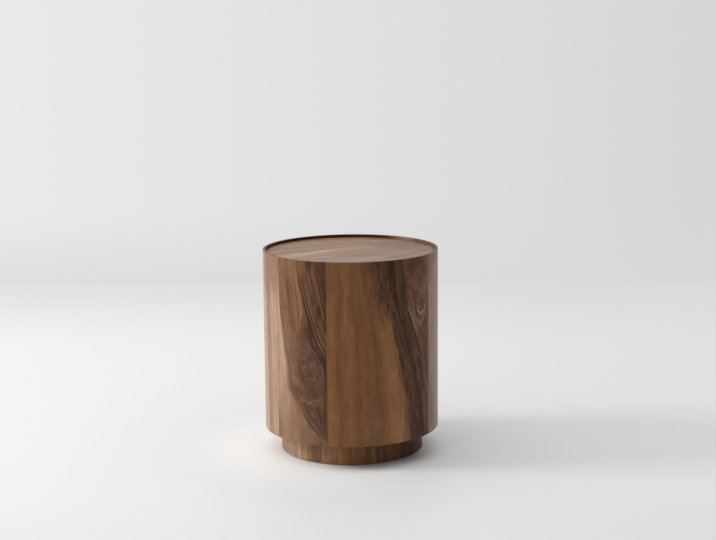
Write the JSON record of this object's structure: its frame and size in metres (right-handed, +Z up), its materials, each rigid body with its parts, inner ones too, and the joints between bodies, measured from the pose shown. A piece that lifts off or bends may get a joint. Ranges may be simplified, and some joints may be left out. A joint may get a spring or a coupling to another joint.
{
  "type": "drum side table",
  "caption": "Round side table: a walnut-veneered drum with a shallow tray top, standing on a set-back round plinth with screw levellers.",
  "frame": {"origin": "on the floor, under the middle of the table", "axes": "+Z up along the drum's axis; -Y to the front, the side that faces the camera; +X to the right"},
  "size_m": [0.45, 0.45, 0.525],
  "materials": {
    "walnut_veneer": "satin lacquer",
    "walnut_solid": "satin lacquer",
    "birch_plywood": "sanded, bare",
    "backing_veneer": "sanded, bare",
    "beech_dowel": "fluted, bare",
    "pine": "planed, bare",
    "zinc_plated_steel": "bright zinc plating",
    "black_nylon": "moulded, fine texture"
  },
  "bodies": {
    "table": {"block_screws": "zinc_plated_steel", "bottom_panel": "birch_plywood", "drum_foot_lipping": "walnut_solid", "drum_shell_front": "birch_plywood", "drum_shell_rear": "birch_plywood", "drum_veneer_leaf_1": "walnut_veneer", "drum_veneer_leaf_2": "walnut_veneer", "drum_veneer_leaf_3": "walnut_veneer", "drum_veneer_leaf_4": "walnut_veneer", "drum_veneer_leaf_5": "walnut_veneer", "drum_veneer_leaf_6": "walnut_veneer", "drum_veneer_leaf_7": "walnut_veneer", "leveller_block_front": "pine", "leveller_block_left": "pine", "leveller_block_rear": "pine", "leveller_block_right": "pine", "leveller_tee_nuts": "zinc_plated_steel", "middle_former_ring": "birch_plywood", "plinth_foot_lipping": "walnut_solid", "plinth_veneer_leaf_1": "walnut_veneer", "plinth_veneer_leaf_2": "walnut_veneer", "plinth_veneer_leaf_3": "walnut_veneer", "plinth_veneer_leaf_4": "walnut_veneer", "plinth_veneer_leaf_5": "walnut_veneer", "plinth_veneer_leaf_6": "walnut_veneer", "plinth_wall_front": "birch_plywood", "plinth_wall_rear": "birch_plywood", "post_dowels": "beech_dowel", "post_front": "pine", "post_left": "pine", "post_rear": "pine", "post_right": "pine", "rim_inner_band": "walnut_veneer", "rim_lipping": "walnut_solid", "top_backing_veneer": "backing_veneer", "top_former_ring": "birch_plywood", "top_locating_dowels": "beech_dowel", "top_panel_core": "birch_plywood", "top_veneer_leaf_1": "walnut_veneer", "top_veneer_leaf_2": "walnut_veneer", "top_veneer_leaf_3": "walnut_veneer", "top_veneer_leaf_4": "walnut_veneer"},
    "pad_front": {"leveller_pad_front": "black_nylon"},
    "stem_front": {"leveller_stem_front": "zinc_plated_steel"},
    "pad_right": {"leveller_pad_right": "black_nylon"},
    "stem_right": {"leveller_stem_right": "zinc_plated_steel"},
    "pad_rear": {"leveller_pad_rear": "black_nylon"},
    "stem_rear": {"leveller_stem_rear": "zinc_plated_steel"},
    "pad_left": {"leveller_pad_left": "black_nylon"},
    "stem_left": {"leveller_stem_left": "zinc_plated_steel"}
  },
  "joints": [
    {"name": "front_pad_travel", "type": "slide", "parent": "table", "child": "pad_front", "axis": [0, 0, -1], "range_m": [0, 0.012]},
    {"name": "front_stem_turn", "type": "hinge", "parent": "pad_front", "child": "stem_front", "pos_m": [0, -0.1509, 0.02], "axis": [0, 0, -1], "range_deg": [0, 3456]},
    {"name": "right_pad_travel", "type": "slide", "parent": "table", "child": "pad_right", "axis": [0, 0, -1], "range_m": [0, 0.012]},
    {"name": "right_stem_turn", "type": "hinge", "parent": "pad_right", "child": "stem_right", "pos_m": [0.1509, 0, 0.02], "axis": [0, 0, -1], "range_deg": [0, 3456]},
    {"name": "rear_pad_travel", "type": "slide", "parent": "table", "child": "pad_rear", "axis": [0, 0, -1], "range_m": [0, 0.012]},
    {"name": "rear_stem_turn", "type": "hinge", "parent": "pad_rear", "child": "stem_rear", "pos_m": [0, 0.1509, 0.02], "axis": [0, 0, -1], "range_deg": [0, 3456]},
    {"name": "left_pad_travel", "type": "slide", "parent": "table", "child": "pad_left", "axis": [0, 0, -1], "range_m": [0, 0.012]},
    {"name": "left_stem_turn", "type": "hinge", "parent": "pad_left", "child": "stem_left", "pos_m": [-0.1509, 0, 0.02], "axis": [0, 0, -1], "range_deg": [0, 3456]}
  ],
  "couplings": [
    {"joint": "front_stem_turn", "follows": "front_pad_travel", "rad_per_m": 5026.5},
    {"joint": "right_stem_turn", "follows": "right_pad_travel", "rad_per_m": 5026.5},
    {"joint": "rear_stem_turn", "follows": "rear_pad_travel", "rad_per_m": 5026.5},
    {"joint": "left_stem_turn", "follows": "left_pad_travel", "rad_per_m": 5026.5}
  ]
}
